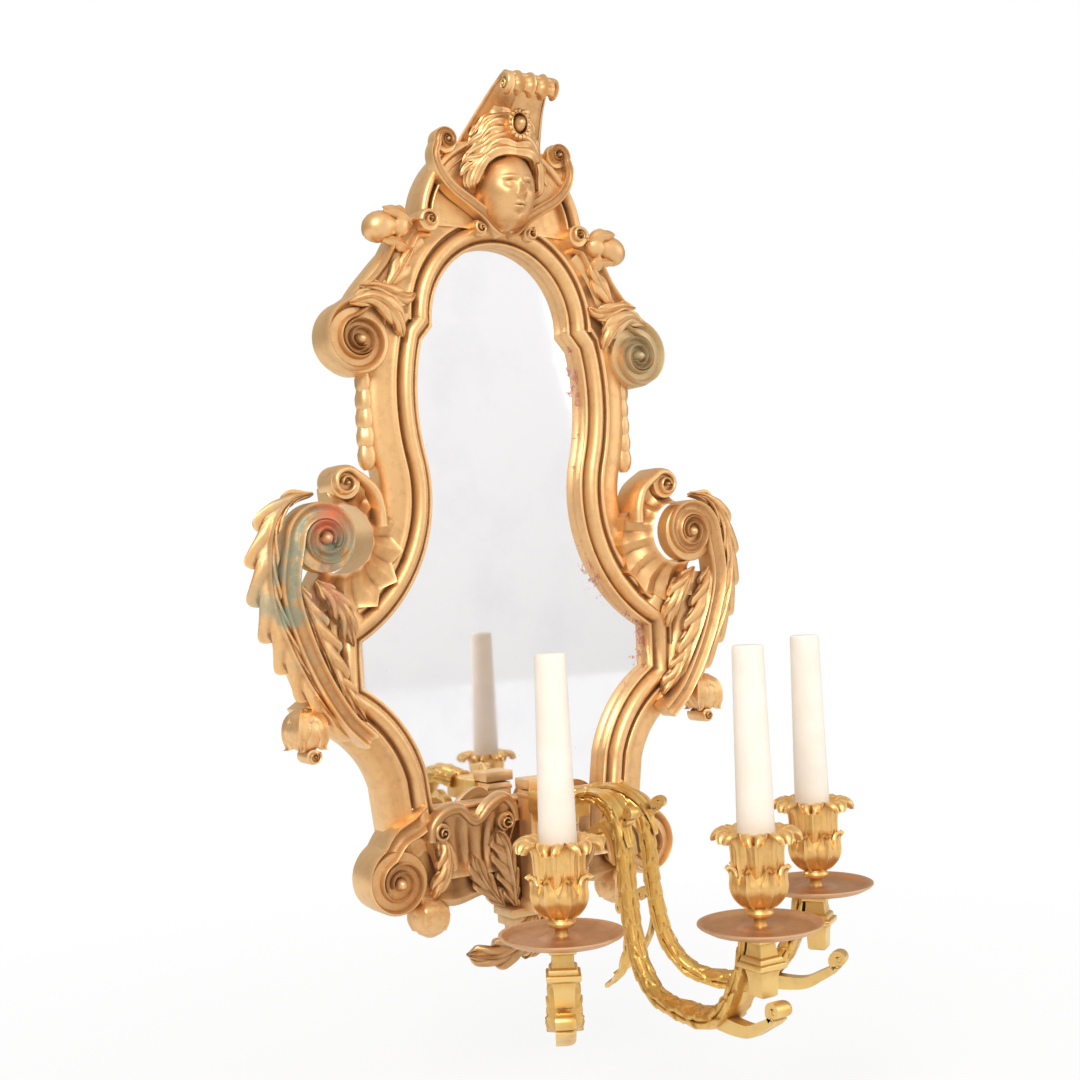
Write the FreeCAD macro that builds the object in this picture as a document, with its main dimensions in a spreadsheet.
import FreeCAD, Part
import math
import os
import Sketcher

# Gilt girandole mirror, hung from one hole in its hanger plate.
# The origin is the middle of that hole, on the plate's back face.
# +X is the right-hand side, +Z is up, and the mirror faces -Y.
# A depth is counted forwards from the plate's back face, and a height from the hole.

os.makedirs("parts", exist_ok=True)
doc = FreeCAD.newDocument("girandole_mirror")
Vector = FreeCAD.Vector

# ---------------------------------------------------------------- driving sizes
SIZES = [
    # the sight opening: half widths and heights of the points of its right-hand half
    ("arch_half_width", 54, "arch of the opening, half width"),
    ("arch_top", -21, "top of the arch"),
    ("arch_spring", -80, "foot of the arch"),
    ("step_half_width", 62.5, "shoulder step, half width"),
    ("step_height", -90, "shoulder step"),
    ("bulge_half_width", 67, "upper bulge, half width"),
    ("bulge_height", -120, "upper bulge"),
    ("waist_half_width", 63, "waist, half width"),
    ("waist_height", -164, "waist"),
    ("belly_half_width", 115, "belly, half width"),
    ("belly_top", -288, "upper corner of the belly"),
    ("belly_bottom", -317, "lower corner of the belly"),
    ("foot_half_width", 71, "foot of the opening, half width"),
    ("foot_height", -376, "foot of the opening"),
    ("sill_half_width", 68, "sill, half width"),
    ("sill_height", -399, "sill"),
    # the cast frame round it
    ("hanger_thick", 2, "hanger plate, and so the depth of the casting's back"),
    ("casting_thick", 16, "casting, back to front"),
    ("lip_width", 5, "sight lip"),
    ("lip_rise", 2, "sight lip, proud of the casting"),
    ("torus_near", 8, "moulding, distance of its inner edge from the opening"),
    ("torus_far", 25, "moulding, distance of its outer edge from the opening"),
    ("torus_step", 3, "moulding, width of the step on each side"),
    ("torus_low", 5, "moulding, rise of its lower step"),
    ("torus_rise", 8, "moulding, full rise"),
    ("band_far", 36, "outer edge of the casting, from the opening"),
    ("rebate_width", 6, "rebate for the glass, from the opening"),
    ("rebate_lip", 9, "metal left in front of the glass"),
    ("glass_thick", 3, "mirror plate"),
    ("glass_clearance", 0.5, "room round the plate and the board"),
    ("board_gap", 0.3, "board below the casting's back"),
    # fixings at the back
    ("button_length", 30, "turn button"),
    ("button_width", 8, "turn button"),
    ("button_thick", 1.4, "turn button"),
    ("button_inset", 8, "pivot of a button, outside the rebate"),
    ("button_gap", 0.3, "button clear of the casting and of its screw head"),
    ("screw_radius", 1.75, "shank of a screw"),
    ("screw_head", 3.6, "head of a screw, radius"),
    ("screw_head_thick", 1.3, "head of a screw"),
    ("screw_bite", 7, "screw thread in the casting"),
    ("pivot_clearance", 0.08, "button round its screw"),
    ("hanger_width", 42, "hanger plate"),
    ("hanger_height", 20, "hanger plate"),
    ("hanger_screw_reach", 14, "screws of the hanger plate, from its middle"),
    ("hang_hole", 3, "hanging hole, radius"),
    ("hang_pocket", 7.5, "room for a wall screw's head, radius"),
    ("hang_pocket_deep", 8, "room for a wall screw's head"),
    ("pad_radius", 8, "wall pad"),
    ("pad_thick", 4.5, "wall pad"),
    ("pad_reach", 34, "wall pads, from the middle"),
    # ornament on the frame
    ("crest_radius", 62, "arch of the crest, middle of its band"),
    ("crest_height", -12, "foot of the crest's arch"),
    ("crest_band", 8, "band of the crest's arch"),
    ("crest_front", 24, "front of the crest's panel"),
    ("shell_half_width", 26, "curling shell at the top"),
    ("shell_thick", 6, "curling shell at the top"),
    ("head_width", 44, "mask"),
    ("head_height", 72, "mask"),
    ("hair_width", 68, "mask"),
    ("head_depth", 44, "mask, whole ellipsoid"),
    ("strap_width", 9, "strap collar"),
    ("shoulder_front", 29, "front of the shoulder scroll"),
    ("husk_radius", 6, "one husk of the side drops"),
    ("husk_height", 12.4, "one husk of the side drops"),
    ("band_radius", 30, "C scroll beside the waist"),
    ("band_width", 14, "C scroll beside the waist"),
    ("volute_radius", 21, "wing volute"),
    ("volute_front", 41, "front of the wing volute"),
    ("wing_front", 34, "front of the wing leaf"),
    ("bud_radius", 17, "hanging bud"),
    ("foot_radius", 22, "foot volute"),
    ("ball_radius", 15, "foot ball"),
    ("apron_front", 30, "front of the apron"),
    # candle arms
    ("post_half_width", 9, "post of the arms"),
    ("post_front", 46, "front of the post"),
    ("hub_axis", 60, "depth where the arms' lines meet"),
    ("hub_front", 86, "front of the hub"),
    ("hub_half_width", 12, "hub"),
    ("arm_section", 9, "arm, across each way"),
    ("arm_spread", 32.4, "angle between neighbouring arms, degrees"),
    ("arm_top", -392, "middle of an arm at the hub"),
    ("arm_low", -514, "lowest corner of an arm's line"),
    ("side_reach", 173, "side candles, from the hub's axis"),
    ("centre_reach", 201, "centre candle, from the hub's axis"),
    ("side_knee", 62, "knee of a side arm, from the hub's axis"),
    ("centre_knee", 75, "knee of the centre arm, from the hub's axis"),
    ("pan_height", -449, "underside of a drip pan"),
    ("pan_radius", 34.5, "drip pan"),
    ("pan_thick", 2, "drip pan"),
    ("pan_rise", 6, "drip pan, rim above its underside"),
    ("pedestal_height", 30, "pedestal under a pan"),
    ("pedestal_width", 16, "pedestal, widest"),
    ("cup_height", 56, "candle cup"),
    ("cup_rim", 20.5, "candle cup, rim radius"),
    ("cup_bulb", 14.75, "candle cup, radius of its bulb"),
    ("cup_wall", 1.9, "candle cup, wall round the socket"),
    ("socket_deep", 24, "candle socket below the rim"),
    ("candle_radius", 10.8, "candle, at its foot"),
    ("candle_top", 8.65, "candle, at its top"),
    ("candle_length", 122, "candle"),
    ("candle_clearance", 0.3, "candle in its socket"),
]

sheet = doc.addObject("Spreadsheet::Sheet", "Sizes")
for row, (alias, value, note) in enumerate(SIZES, 1):
    sheet.set("A%d" % row, note)
    sheet.set("B%d" % row, str(value))
    sheet.setAlias("B%d" % row, alias)
doc.recompute()


def size(formula):
    found = sheet.evalExpression(formula)
    return float(getattr(found, "Value", found))


def bind(thing, prop, formula):
    # The formula names cells of the sheet only.
    names = sorted((alias for alias, _, _ in SIZES), key=len, reverse=True)
    words = []
    word = ""
    for letter in formula + " ":
        if letter.isalnum() or letter in "_.":
            word += letter
            continue
        words.append("Sizes." + word if word in names else word)
        words.append(letter)
        word = ""
    thing.setExpression(prop, "".join(words).strip())


# ---------------------------------------------------------------- ways to build
subparts = {}


def keep(node, thing):
    thing.Label = node
    subparts[node] = thing
    return thing


def outline(label, stops, side=1):
    # A stop is an end point, or a point on an arc followed by the arc's end point.
    spots = [Vector(side * stop[-2], 0, stop[-1]) for stop in stops]
    edges = []
    for start, stop, end in zip(spots, stops[1:], spots[1:]):
        if len(stop) == 4:
            on_arc = Vector(side * stop[0], 0, stop[1])
            edges.append(Part.Arc(start, on_arc, end).toShape())
        else:
            edges.append(Part.LineSegment(start, end).toShape())
    line = doc.addObject("Part::Feature", label + "_line")
    line.Shape = Part.Wire(edges)
    return line


def closed(label, stops, side=1):
    return outline(label, stops + stops[:1], side)


def moved(stops, across, up):
    shift = (across, up, across, up)
    return [tuple(a + b for a, b in zip(stop, shift)) for stop in stops]


def grown(label, line, distance):
    # Closed lines grow outwards; an open line becomes a ribbon of twice the distance.
    ring = doc.addObject("Part::Offset2D", label + "_grown")
    ring.Source = line
    bind(ring, "Value", distance)
    return ring


def slab(label, line, back, front):
    block = doc.addObject("Part::Extrusion", label)
    block.Base = line
    block.DirMode = "Custom"
    block.Dir = Vector(0, -1, 0)
    block.Solid = True
    bind(block, "LengthFwd", front)
    bind(block, "LengthRev", "-(%s)" % back)
    return block


def ribbon(label, stops, half_width, back, front, side=1):
    return slab(label, grown(label, outline(label, stops, side), half_width), back, front)


def cylinder(label, radius, across, up, back, front):
    # A round bar along the depth.
    bar = doc.addObject("Part::Cylinder", label)
    bind(bar, "Radius", radius)
    bind(bar, "Height", "(%s) - (%s)" % (front, back))
    bar.Placement = FreeCAD.Placement(Vector(), FreeCAD.Rotation(Vector(1, 0, 0), 90))
    bind(bar, "Placement.Base.x", across)
    bind(bar, "Placement.Base.y", "-(%s)" % back)
    bind(bar, "Placement.Base.z", up)
    return bar


def box(label, across, back, front, low, high):
    # Centred on x = 0 and as wide as twice the first size.
    block = doc.addObject("Part::Box", label)
    bind(block, "Length", "2 * (%s)" % across)
    bind(block, "Width", "(%s) - (%s)" % (front, back))
    bind(block, "Height", "(%s) - (%s)" % (high, low))
    bind(block, "Placement.Base.x", "-(%s)" % across)
    bind(block, "Placement.Base.y", "-(%s)" % front)
    bind(block, "Placement.Base.z", low)
    return block


def fused(label, *things):
    whole = doc.addObject("Part::MultiFuse", label)
    whole.Shapes = list(things)
    return whole


def cut(label, thing, *tools):
    for count, tool in enumerate(tools, 1):
        rest = doc.addObject("Part::Cut", label if count == len(tools) else "%s_%d" % (label, count))
        rest.Base = thing
        rest.Tool = tool
        thing = rest
    return thing


def ellipsoid(label, across, depth, up, width, thick, height):
    # A whole ellipsoid by its middle and its three full sizes.
    egg = doc.addObject("Part::Ellipsoid", label)
    bind(egg, "Radius1", "(%s) / 2" % height)
    bind(egg, "Radius2", "(%s) / 2" % width)
    bind(egg, "Radius3", "(%s) / 2" % thick)
    egg.Angle1 = -90
    bind(egg, "Placement.Base.x", across)
    bind(egg, "Placement.Base.y", "-(%s)" % depth)
    bind(egg, "Placement.Base.z", up)
    return egg


def turned(node, profile, across, depth, up):
    # Each point of the profile is a radius and a height, both bound to the sheet.
    body = doc.addObject("PartDesign::Body", node)
    plane = next(face for face in body.Origin.OriginFeatures if face.Role == "XZ_Plane")
    sketch = body.newObject("Sketcher::SketchObject", node + "_profile")
    sketch.AttachmentSupport = [(plane, "")]
    sketch.MapMode = "FlatFace"
    points = [Vector(size(radius), size(height), 0) for radius, height in profile]
    for start, end in zip(points, points[1:] + points[:1]):
        sketch.addGeometry(Part.LineSegment(start, end), False)
    for edge in range(len(points)):
        following = (edge + 1) % len(points)
        sketch.addConstraint(Sketcher.Constraint("Coincident", edge, 2, following, 1))
    for edge, (point, formulas) in enumerate(zip(points, profile)):
        for kind, value, formula in zip(("DistanceX", "DistanceY"), point, formulas):
            rule = sketch.addConstraint(Sketcher.Constraint(kind, -1, 1, edge, 1, value))
            bind(sketch, "Constraints[%d]" % rule, formula)
    turn = body.newObject("PartDesign::Revolution", node + "_turned")
    turn.Profile = sketch
    turn.ReferenceAxis = (sketch, ["V_Axis"])
    turn.Angle = 360
    bind(body, "Placement.Base.x", across)
    bind(body, "Placement.Base.y", "-(%s)" % depth)
    bind(body, "Placement.Base.z", up)
    return keep(node, body)


SIDES = {"left": -1, "right": 1}

# ---------------------------------------------------------------- the sight opening
half = [
    (0, size("arch_top")),
    (size("arch_half_width * 0.72"), size("arch_spring + (arch_top - arch_spring) * 0.72"),
     size("arch_half_width"), size("arch_spring")),
    (size("step_half_width"), size("step_height")),
    (size("bulge_half_width"), size("bulge_height"),
     size("waist_half_width"), size("waist_height")),
    (size("waist_half_width + 0.17 * (belly_half_width - waist_half_width)"),
     size("waist_height + 0.645 * (belly_top - waist_height)"),
     size("belly_half_width"), size("belly_top")),
    (size("belly_half_width"), size("belly_bottom")),
    (size("foot_half_width + 0.32 * (belly_half_width - foot_half_width)"),
     size("foot_height + 0.525 * (belly_bottom - foot_height)"),
     size("foot_half_width"), size("foot_height")),
    (size("sill_half_width"), size("sill_height")),
]


def both_sides(stops):
    # The right-hand half from the top down, then its mirror image back up to the top.
    loop = list(stops)
    loop.append((-stops[-1][-2], stops[-1][-1]))
    for stop, above in zip(stops[:0:-1], stops[-2::-1]):
        on_arc = [(-stop[0], stop[1])] if len(stop) == 4 else []
        loop.append(sum(on_arc, ()) + (-above[-2], above[-1]))
    return loop


opening = outline("opening", both_sides(half))


def ring(label, inner, outer, back, front):
    # The band between two distances from the opening.
    disc = slab(label + "_disc", grown(label + "_outer", opening, outer), back, front)
    hole = slab(label + "_hole", grown(label + "_inner", opening, inner), back, front)
    return cut(label, disc, hole)


# ---------------------------------------------------------------- casting and its fixings
BACK = "hanger_thick"
FRONT = "hanger_thick + casting_thick"
LIP = FRONT + " + lip_rise"
GLASS_FRONT = LIP + " - rebate_lip"
GLASS_BACK = GLASS_FRONT + " - glass_thick"
DEEP = "5 * casting_thick"

button_spots = {}
for side, sign in SIDES.items():
    outside = "%d * (%%s + rebate_width + button_inset)" % sign
    button_spots["upper_" + side] = (outside % "bulge_half_width", "bulge_height - 14")
    button_spots["lower_" + side] = (outside % "belly_half_width",
                                     "(belly_top + belly_bottom) / 2")

HEAD_BACK = "hanger_thick - button_thick - 2 * button_gap"
for spot, (across, up) in button_spots.items():
    shank = cylinder(spot + "_shank", "screw_radius", across, up, HEAD_BACK, BACK + " + screw_bite")
    head = cylinder(spot + "_head", "screw_head", across, up,
                    HEAD_BACK + " - screw_head_thick", HEAD_BACK)
    keep("button_screw_" + spot, fused("button_screw_" + spot, shank, head))
    bar = doc.addObject("Part::Box", spot + "_bar")
    bind(bar, "Length", "button_length")
    bind(bar, "Width", "button_thick")
    bind(bar, "Height", "button_width")
    bind(bar, "Placement.Base.x", across + " - button_length / 2")
    bind(bar, "Placement.Base.y", "-(%s - button_gap)" % BACK)
    bind(bar, "Placement.Base.z", up + " - button_width / 2")
    bore = cylinder(spot + "_bore", "screw_radius + pivot_clearance", across, up, "0", BACK)
    keep("turn_button_" + spot, cut("turn_button_" + spot, bar, bore))

plate = box("hanger_blank", "hanger_width / 2", "0", BACK, "-hanger_height / 2", "hanger_height / 2")
hang_hole = cylinder("hang_hole_tool", "hang_hole", "0", "0", "0", BACK)
hanger_screws = []
for side, sign in SIDES.items():
    across = "%d * hanger_screw_reach" % sign
    shank = cylinder("hanger_shank_" + side, "screw_radius", across, "0", "0", BACK + " + screw_bite")
    head = cylinder("hanger_head_" + side, "screw_head", across, "0", "-screw_head_thick", "0")
    screw = fused("hanger_screw_" + side, shank, head)
    hanger_screws.append(keep("hanger_screw_" + side, screw))
keep("hanger_plate", cut("hanger_plate", plate, hang_hole, *hanger_screws))

band = ring("band", "0", "band_far", BACK, FRONT)
lip = ring("lip", "0", "lip_width", FRONT, LIP)
rebate = slab("rebate", grown("rebate", opening, "rebate_width"), BACK, GLASS_FRONT)
pocket = cylinder("pocket", "hang_pocket", "0", "0", BACK, BACK + " + hang_pocket_deep")
pilots = [subparts["button_screw_" + spot] for spot in button_spots]
casting = cut("frame_casting", fused("frame_blank", band, lip), rebate, pocket, *pilots, *hanger_screws)
keep("frame_casting", casting)

TORUS = FRONT + " + torus_rise"
torus_foot = ring("torus_foot", "torus_near", "torus_far", FRONT, FRONT + " + torus_low")
torus_crown = ring("torus_crown", "torus_near + torus_step", "torus_far - torus_step",
                   FRONT + " + torus_low", TORUS)
keep("sight_moulding", fused("sight_moulding", torus_foot, torus_crown))

plate_line = grown("plate", opening, "rebate_width - glass_clearance")
keep("mirror_plate", slab("mirror_plate", plate_line, GLASS_BACK, GLASS_FRONT))
board_line = grown("board", opening, "rebate_width - glass_clearance")
keep("backboard", slab("backboard", board_line, BACK + " + board_gap", GLASS_BACK))

for side, sign in SIDES.items():
    pad = cylinder("wall_pad_" + side, "pad_radius", "%d * pad_reach" % sign,
                   "sill_height - (band_far + rebate_width) / 2", "hanger_thick - pad_thick", BACK)
    keep("wall_pad_" + side, pad)

# Ornament on the sides stops at the edge of the moulding and of the casting.
casting_room = slab("casting_room", grown("casting_room", opening, "band_far"), "0", FRONT)
moulding_room = slab("moulding_room", grown("moulding_room", opening, "torus_far"), "0", DEEP)
side_seat = fused("side_seat", casting_room, moulding_room)
# Ornament that lies over the moulding starts at its front.
torus_room = slab("torus_room", grown("torus_room", opening, "torus_far"), "0", TORUS)
front_seat = fused("front_seat", casting_room, torus_room)

# ---------------------------------------------------------------- crest
crest_z = size("crest_height")
crest_r = size("crest_radius")
panel_r = size("crest_radius - crest_band / 2")
panel_line = closed("crest_panel", [(-panel_r, crest_z), (0, crest_z + panel_r, panel_r, crest_z)])
panel = slab("crest_panel_blank", panel_line, "3 * hanger_thick", "crest_front")
crest_panel = keep("crest_panel", cut("crest_panel", panel, side_seat))

ARCH_FRONT = "crest_front + crest_band"
arch_band = ribbon("crest_arch_band", [(-crest_r, crest_z), (0, crest_z + crest_r, crest_r, crest_z)],
                   "crest_band / 2", "3 * hanger_thick", ARCH_FRONT)
arch_curls = [cylinder("crest_curl_" + side, "crest_band * 1.1", "%d * (crest_radius + 4)" % sign,
                       "crest_height", "3 * hanger_thick", ARCH_FRONT) for side, sign in SIDES.items()]
arch_whole = fused("crest_arch_blank", arch_band, *arch_curls)
crest_arch = keep("crest_arch", cut("crest_arch", arch_whole, side_seat, crest_panel))

# The shell rises behind the mask and curls forwards.
shell_path = [(14, 36), (22, 60, 37, 72), (50, 82, 66, 86)]
shell_line = grown("crest_shell", outline("crest_shell", shell_path), "shell_thick / 2")
shell_blank = doc.addObject("Part::Extrusion", "crest_shell_blank")
shell_blank.Base = shell_line
shell_blank.DirMode = "Custom"
shell_blank.Dir = Vector(0, 1, 0)
shell_blank.Solid = True
bind(shell_blank, "LengthFwd", "shell_half_width")
bind(shell_blank, "LengthRev", "shell_half_width")
# The profile is drawn with its depth along +X, then turned to face -Y.
shell_blank.Placement = FreeCAD.Placement(Vector(), FreeCAD.Rotation(Vector(0, 0, 1), -90))
crest_shell = keep("crest_shell", cut("crest_shell", shell_blank, crest_panel, crest_arch))

HAIR_FRONT = "crest_front + head_depth * 0.45"

# The mask is a stepped block; its height is shared as chin to brow and brow to crown.
head_x = size("head_width / 2")
head_low = size("-head_height / 6")
head_z = size("head_height / 3")
head_top = size("head_height * 5 / 6")
near = 0.74
head_stops = [(0, head_low), (head_x * near, head_z + (head_low - head_z) * near, head_x, head_z),
              (head_x * near, head_z + (head_top - head_z) * near, 0, head_top),
              (-head_x * near, head_z + (head_top - head_z) * near, -head_x, head_z),
              (-head_x * near, head_z + (head_low - head_z) * near, 0, head_low)]
head_line = outline("head", head_stops)
head_room = slab("head_room", head_line, "crest_front", "crest_front + head_depth * 0.35")
face_room = slab("face_room", grown("face", head_line, "-head_width * 0.12"),
                 "crest_front + head_depth * 0.35", "crest_front + head_depth * 0.66")
hair_x = size("hair_width / 2")
hair_z = size("head_height * 0.36")
hair_top = size("head_height * 0.88")
hair_line = closed("hair", [(-hair_x, hair_z), (-hair_x * near, hair_z + (hair_top - hair_z) * near, 0, hair_top),
                            (hair_x * near, hair_z + (hair_top - hair_z) * near, hair_x, hair_z)])
hair_room = slab("hair_room", hair_line, "crest_front", HAIR_FRONT)
mask_head = keep("mask_head", cut("mask_head", fused("head_blank", head_room, face_room, hair_room),
                                  front_seat, crest_arch, crest_shell))

# The cabochon's back is sunk in the mask's hair, as a press fit.
keep("cabochon", cylinder("cabochon", "head_width * 0.15", "0", "head_height * 0.78", HAIR_FRONT + " - 6",
                          HAIR_FRONT + " + 10"))

STRAP_FRONT = ARCH_FRONT + " + 3"
strap_stops = [(-46, 44), (-16, -4), (0, -15, 16, -4), (46, 44)]
strap = ribbon("strap", strap_stops, "strap_width / 2", "crest_front", STRAP_FRONT)
strap_curls = [cylinder("strap_curl_" + side, "strap_width", "%d * 46" % sign, "44", "crest_front - 4",
                        STRAP_FRONT + " + 9") for side, sign in SIDES.items()]
strap_whole = fused("strap_blank", strap, *strap_curls)
keep("collar_strap", cut("collar_strap", strap_whole, front_seat, crest_panel, crest_arch, mask_head))

# ---------------------------------------------------------------- sides of the frame
SCROLL_BACK = "2 * hanger_thick"


def shoulder_scroll(side, sign):
    stops = moved([(-12, 66), (16, 66), (28, 42, 55, 35), (78, 8, 50, -23), (22, -22)],
                  size("step_half_width"), size("step_height"))
    blank = slab("shoulder_blank_" + side, closed("shoulder_" + side, stops, sign),
                 SCROLL_BACK, "shoulder_front")
    node = "shoulder_scroll_" + side
    return keep(node, cut(node, blank, side_seat, crest_arch))


def top_bud(side, sign, shoulder):
    across = "%d * (crest_radius + %%d)" % sign
    roll = cylinder("top_roll_" + side, "10.5", across % 31, "crest_height - 6", "10", "32")
    neck = closed("top_neck_" + side,
                  moved([(10, -2), (31, 4), (31, -15), (10, -18)], size("crest_radius"), crest_z), sign)
    stem = slab("top_stem_" + side, neck, "10", "28")
    node = "top_bud_" + side
    blank = fused("top_bud_blank_" + side, roll, stem)
    return keep(node, cut(node, blank, side_seat, crest_arch, shoulder))


def husk_drop(side, sign):
    husks = []
    for count in range(5):
        husk = doc.addObject("Part::Cone", "husk_%s_%d" % (side, count))
        bind(husk, "Radius1", "husk_radius * 0.6")
        bind(husk, "Radius2", "husk_radius")
        bind(husk, "Height", "husk_height")
        bind(husk, "Placement.Base.x", "%d * (waist_half_width + band_far + husk_radius * 0.7)" % sign)
        bind(husk, "Placement.Base.y", "-(%s - husk_radius)" % FRONT)
        bind(husk, "Placement.Base.z", "step_height - 23 - %d * husk_height" % (count + 1))
        husks.append(husk)
    node = "husk_drop_" + side
    return keep(node, cut(node, fused("husks_" + side, *husks), side_seat))


def c_band(side, sign, drop):
    middle = (size("waist_half_width + band_far + band_radius + 4"), size("waist_height - 56"))
    radius = size("band_radius")
    stops = moved([(6, radius), (-radius, 0, 6, -radius)], *middle)
    band_piece = ribbon("c_ribbon_" + side, stops, "band_width / 2", SCROLL_BACK, "wing_front - 2", sign)
    node = "c_band_" + side
    return keep(node, cut(node, band_piece, side_seat, drop))


def wing_scroll(side, sign, band_piece):
    eye = ("waist_half_width + band_far + band_radius + 15.5", "waist_height - 57")
    volute = cylinder("wing_volute_" + side, "volute_radius", "%d * (%s)" % (sign, eye[0]), eye[1],
                      "volute_front - 29", "volute_front")
    stops = moved([(4, 21), (42, -4, 36, -58), (26, -92, 4, -120), (-18, -122), (-30, -64), (-28, -44),
                   (-8, -18)], size(eye[0]), size(eye[1]))
    leaf = slab("wing_leaf_" + side, closed("wing_" + side, stops, sign), SCROLL_BACK, "wing_front")
    node = "wing_scroll_" + side
    return keep(node, cut(node, fused("wing_blank_" + side, volute, leaf), side_seat, band_piece))


def low_bud(side, sign, wing):
    bud = ellipsoid("bud_egg_" + side, "%d * (belly_half_width + 45)" % sign, "24",
                    "belly_bottom - 27", "2 * bud_radius", "1.6 * bud_radius", "2.2 * bud_radius")
    node = "low_bud_" + side
    return keep(node, cut(node, bud, wing))


def foot_volute(side, sign):
    eye = ("sill_half_width + 30", "sill_height - 50")
    disc = cylinder("foot_disc_" + side, "foot_radius", "%d * (%s)" % (sign, eye[0]), eye[1],
                    SCROLL_BACK, "apron_front")
    stops = moved([(-20, 40), (6, 38), (22, 2), (-22, 2)], size(eye[0]), size(eye[1]))
    neck = slab("foot_neck_" + side, closed("foot_" + side, stops, sign), SCROLL_BACK, "apron_front - 4")
    node = "foot_volute_" + side
    return keep(node, cut(node, fused("foot_blank_" + side, disc, neck), side_seat))


volutes = {}
for side, sign in SIDES.items():
    shoulder = shoulder_scroll(side, sign)
    top_bud(side, sign, shoulder)
    drop = husk_drop(side, sign)
    wing = wing_scroll(side, sign, c_band(side, sign, drop))
    low_bud(side, sign, wing)
    volutes[side] = foot_volute(side, sign)

# ---------------------------------------------------------------- apron and feet
sill = size("sill_height")
sill_x = size("sill_half_width")
right_apron = [(0, sill - 20), (sill_x + 18, sill - 20), (sill_x + 8, sill - 62),
               (sill_x - 20, sill - 60, 28, sill - 54), (16, sill - 72), (0, sill - 76)]
left_apron = [(-across, up) for across, up in (stop[-2:] for stop in right_apron[4:0:-1])]
apron_line = closed("apron", right_apron + left_apron)
apron_blank = slab("apron_blank", apron_line, SCROLL_BACK, "apron_front")
apron = keep("apron", cut("apron", apron_blank, side_seat, volutes["left"], volutes["right"]))

for side, sign in SIDES.items():
    ball = ellipsoid("ball_egg_" + side, "%d * (sill_half_width + 8)" % sign, "apron_front - ball_radius",
                     "sill_height - 70", "2 * ball_radius", "2 * ball_radius", "2 * ball_radius")
    keep("foot_ball_" + side, cut("foot_ball_" + side, ball, volutes[side], apron))

    inner = size("post_half_width + 5")
    stops = moved([(inner, -24), (inner, 2), (24, 26, 44, 16), (62, 24, 74, 0), (76, -24)], 0, sill)
    leaf = slab("base_leaf_" + side, closed("base_leaf_" + side, stops, sign), TORUS, TORUS + " + 9")
    keep("base_leaf_" + side, leaf)

    stops = moved([(10, -26), (38, -26), (40, -48, 22, -66), (10, -68)], 0, sill)
    spray = slab("apron_leaf_" + side, closed("apron_leaf_" + side, stops, sign),
                 "apron_front", "apron_front + 8")
    keep("apron_leaf_" + side, cut("apron_leaf_" + side, spray, subparts["base_leaf_" + side]))

tail = ribbon("drop_tail", moved([(-4, -70), (-8, -84), (-22, -92, -50, -106)], 0, sill), "6",
              "apron_front - 12", "apron_front")
keep("drop_leaf", cut("drop_leaf", tail, apron))

# ---------------------------------------------------------------- candle arms
post = box("post", "post_half_width", "apron_front", "post_front", "sill_height - 72", "arm_top + 2")
post_cap = box("post_cap", "post_half_width + 2", "apron_front", "post_front + 2", "arm_top + 2",
               "arm_top + 8")
arm_post = keep("arm_post", fused("arm_post", post, post_cap))

hub_block = box("hub_block", "hub_half_width", "post_front", "hub_front", "arm_top - 14", "arm_top + 2")
arm_hub = keep("arm_hub", cut("arm_hub", hub_block, arm_post))


def rounded(corners, share=0.45):
    # Straight runs joined by tangent arcs, each as large as its two runs allow.
    edges = []
    last = corners[0]
    for before, corner, after in zip(corners, corners[1:], corners[2:]):
        back = (before - corner).normalize()
        ahead = (after - corner).normalize()
        reach = share * min((before - corner).Length, (after - corner).Length)
        half_turn = (math.pi - back.getAngle(ahead)) / 2
        radius = reach / math.tan(half_turn)
        start = corner + back * reach
        end = corner + ahead * reach
        centre = corner + (back + ahead).normalize() * math.hypot(reach, radius)
        on_arc = centre + (corner - centre).normalize() * radius
        edges.append(Part.LineSegment(last, start).toShape())
        edges.append(Part.Arc(start, on_arc, end).toShape())
        last = end
    edges.append(Part.LineSegment(last, corners[-1]).toShape())
    return Part.Wire(edges)


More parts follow.
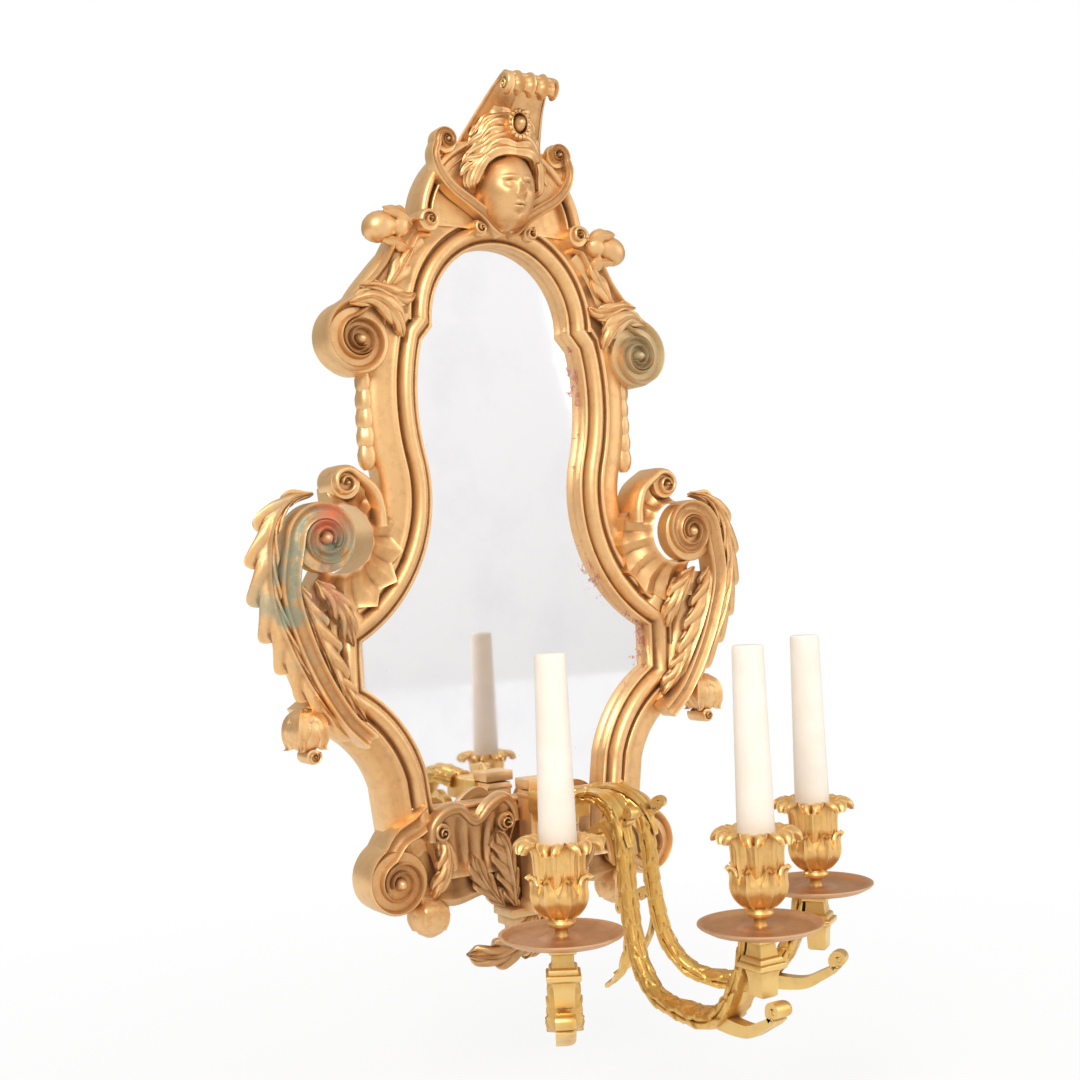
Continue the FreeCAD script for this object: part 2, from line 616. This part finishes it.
def candle_arm(name, turn, reach, knee):
    # The arm is drawn along +X from the hub's axis, then swung to its own direction.
    low = size("arm_low")
    top = size("arm_top")
    knee_x = size(knee)
    end_x = size(reach) - size("pedestal_width") / 2 - 2
    corners = [(size("hub_half_width") + 8, top), (knee_x, top), (knee_x + 6, low + 36), (knee_x + 42, low),
               (end_x - 14, low + 10), (end_x, size("pan_height"))]
    line = doc.addObject("Part::Feature", name + "_line")
    line.Shape = rounded([Vector(across, 0, up) for across, up in corners])
    strip = doc.addObject("Part::Extrusion", name + "_strip")
    strip.Base = grown(name, line, "arm_section / 2")
    strip.DirMode = "Custom"
    strip.Dir = Vector(0, 1, 0)
    strip.Solid = True
    bind(strip, "LengthFwd", "arm_section / 2")
    bind(strip, "LengthRev", "arm_section / 2")
    steps = []
    layers = [("1", "0", "0.2"), ("0.75", "0.2", "0.8"), ("1", "0.8", "1")]
    for count, (share, low_share, high_share) in enumerate(layers):
        step = doc.addObject("Part::Box", "%s_step_%d" % (name, count))
        bind(step, "Length", "pedestal_width * " + share)
        bind(step, "Width", "pedestal_width * " + share)
        bind(step, "Height", "pedestal_height * (%s - %s)" % (high_share, low_share))
        bind(step, "Placement.Base.x", "%s - pedestal_width * %s / 2" % (reach, share))
        bind(step, "Placement.Base.y", "-pedestal_width * %s / 2" % share)
        bind(step, "Placement.Base.z", "pan_height - pedestal_height * (1 - %s)" % low_share)
        steps.append(step)
    top_cut = doc.addObject("Part::Box", name + "_top_cut")
    bind(top_cut, "Length", "2 * " + reach)
    bind(top_cut, "Width", "4 * arm_section")
    bind(top_cut, "Height", "2 * arm_section")
    bind(top_cut, "Placement.Base.x", knee + " + 2 * arm_section")
    bind(top_cut, "Placement.Base.y", "-2 * arm_section")
    bind(top_cut, "Placement.Base.z", "pan_height")
    whole = cut(name + "_whole", fused(name + "_fused", strip, *steps), top_cut)
    spot = FreeCAD.Placement(Vector(0, -size("hub_axis"), 0), FreeCAD.Rotation(Vector(0, 0, 1), turn))
    placed = doc.addObject("Part::Compound", name + "_placed")
    placed.Links = [whole]
    placed.Placement = spot
    return keep(name, cut(name, placed, arm_hub))


spread = size("arm_spread")
ARMS = {"centre": (-90, "centre"), "left": (-90 - spread, "side"), "right": (-90 + spread, "side")}
SOCKET = "candle_radius + candle_clearance"
for name, (turn, kind) in ARMS.items():
    candle_arm("arm_" + name, turn, kind + "_reach", kind + "_knee")
    along = math.radians(turn)
    across = "%s_reach * %.9f" % (kind, math.cos(along))
    depth = "hub_axis + %s_reach * %.9f" % (kind, -math.sin(along))
    turned("drip_pan_" + name, [
        ("0", "0"),
        ("pan_radius * 0.7", "0"),
        ("pan_radius", "pan_rise - pan_thick"),
        ("pan_radius", "pan_rise"),
        ("pan_radius * 0.68", "pan_thick"),
        ("0", "pan_thick"),
    ], across, depth, "pan_height")
    turned("candle_cup_" + name, [
        ("0", "0"),
        ("cup_bulb * 0.55", "0"),
        ("cup_bulb * 0.55", "cup_height * 0.07"),
        ("cup_bulb * 0.38", "cup_height * 0.11"),
        ("cup_bulb", "cup_height * 0.3"),
        ("cup_bulb * 0.9", "cup_height * 0.44"),
        ("%s - cup_wall / 2" % SOCKET, "cup_height - socket_deep - 1.5 * cup_wall"),
        ("%s + cup_wall" % SOCKET, "cup_height - socket_deep + cup_wall"),
        ("%s + cup_wall" % SOCKET, "cup_height - cup_rim * 0.45"),
        ("cup_rim", "cup_height"),
        ("cup_rim - cup_wall", "cup_height"),
        (SOCKET, "cup_height - cup_rim * 0.4"),
        (SOCKET, "cup_height - socket_deep"),
        ("0", "cup_height - socket_deep"),
    ], across, depth, "pan_height + pan_thick")
    turned("candle_" + name, [
        ("0", "0"),
        ("candle_radius", "0"),
        ("candle_top", "candle_length"),
        ("0", "candle_length"),
    ], across, depth, "pan_height + pan_thick + cup_height - socket_deep")

# ---------------------------------------------------------------- checks and files
doc.recompute()
for thing in doc.Objects:
    if {"Invalid", "Error"} & set(thing.State):
        raise RuntimeError("%s failed: %s" % (thing.Label, thing.State))
for node, thing in subparts.items():
    shape = thing.Shape
    if shape.isNull() or not shape.isValid() or not shape.Solids:
        raise RuntimeError(node + " has no valid solid")
    print("%-24s %d solid(s) %10.1f mm3" % (node, len(shape.Solids), shape.Volume))
    shape.exportStep("parts/%s.step" % node)
print(len(subparts), "sub-parts")
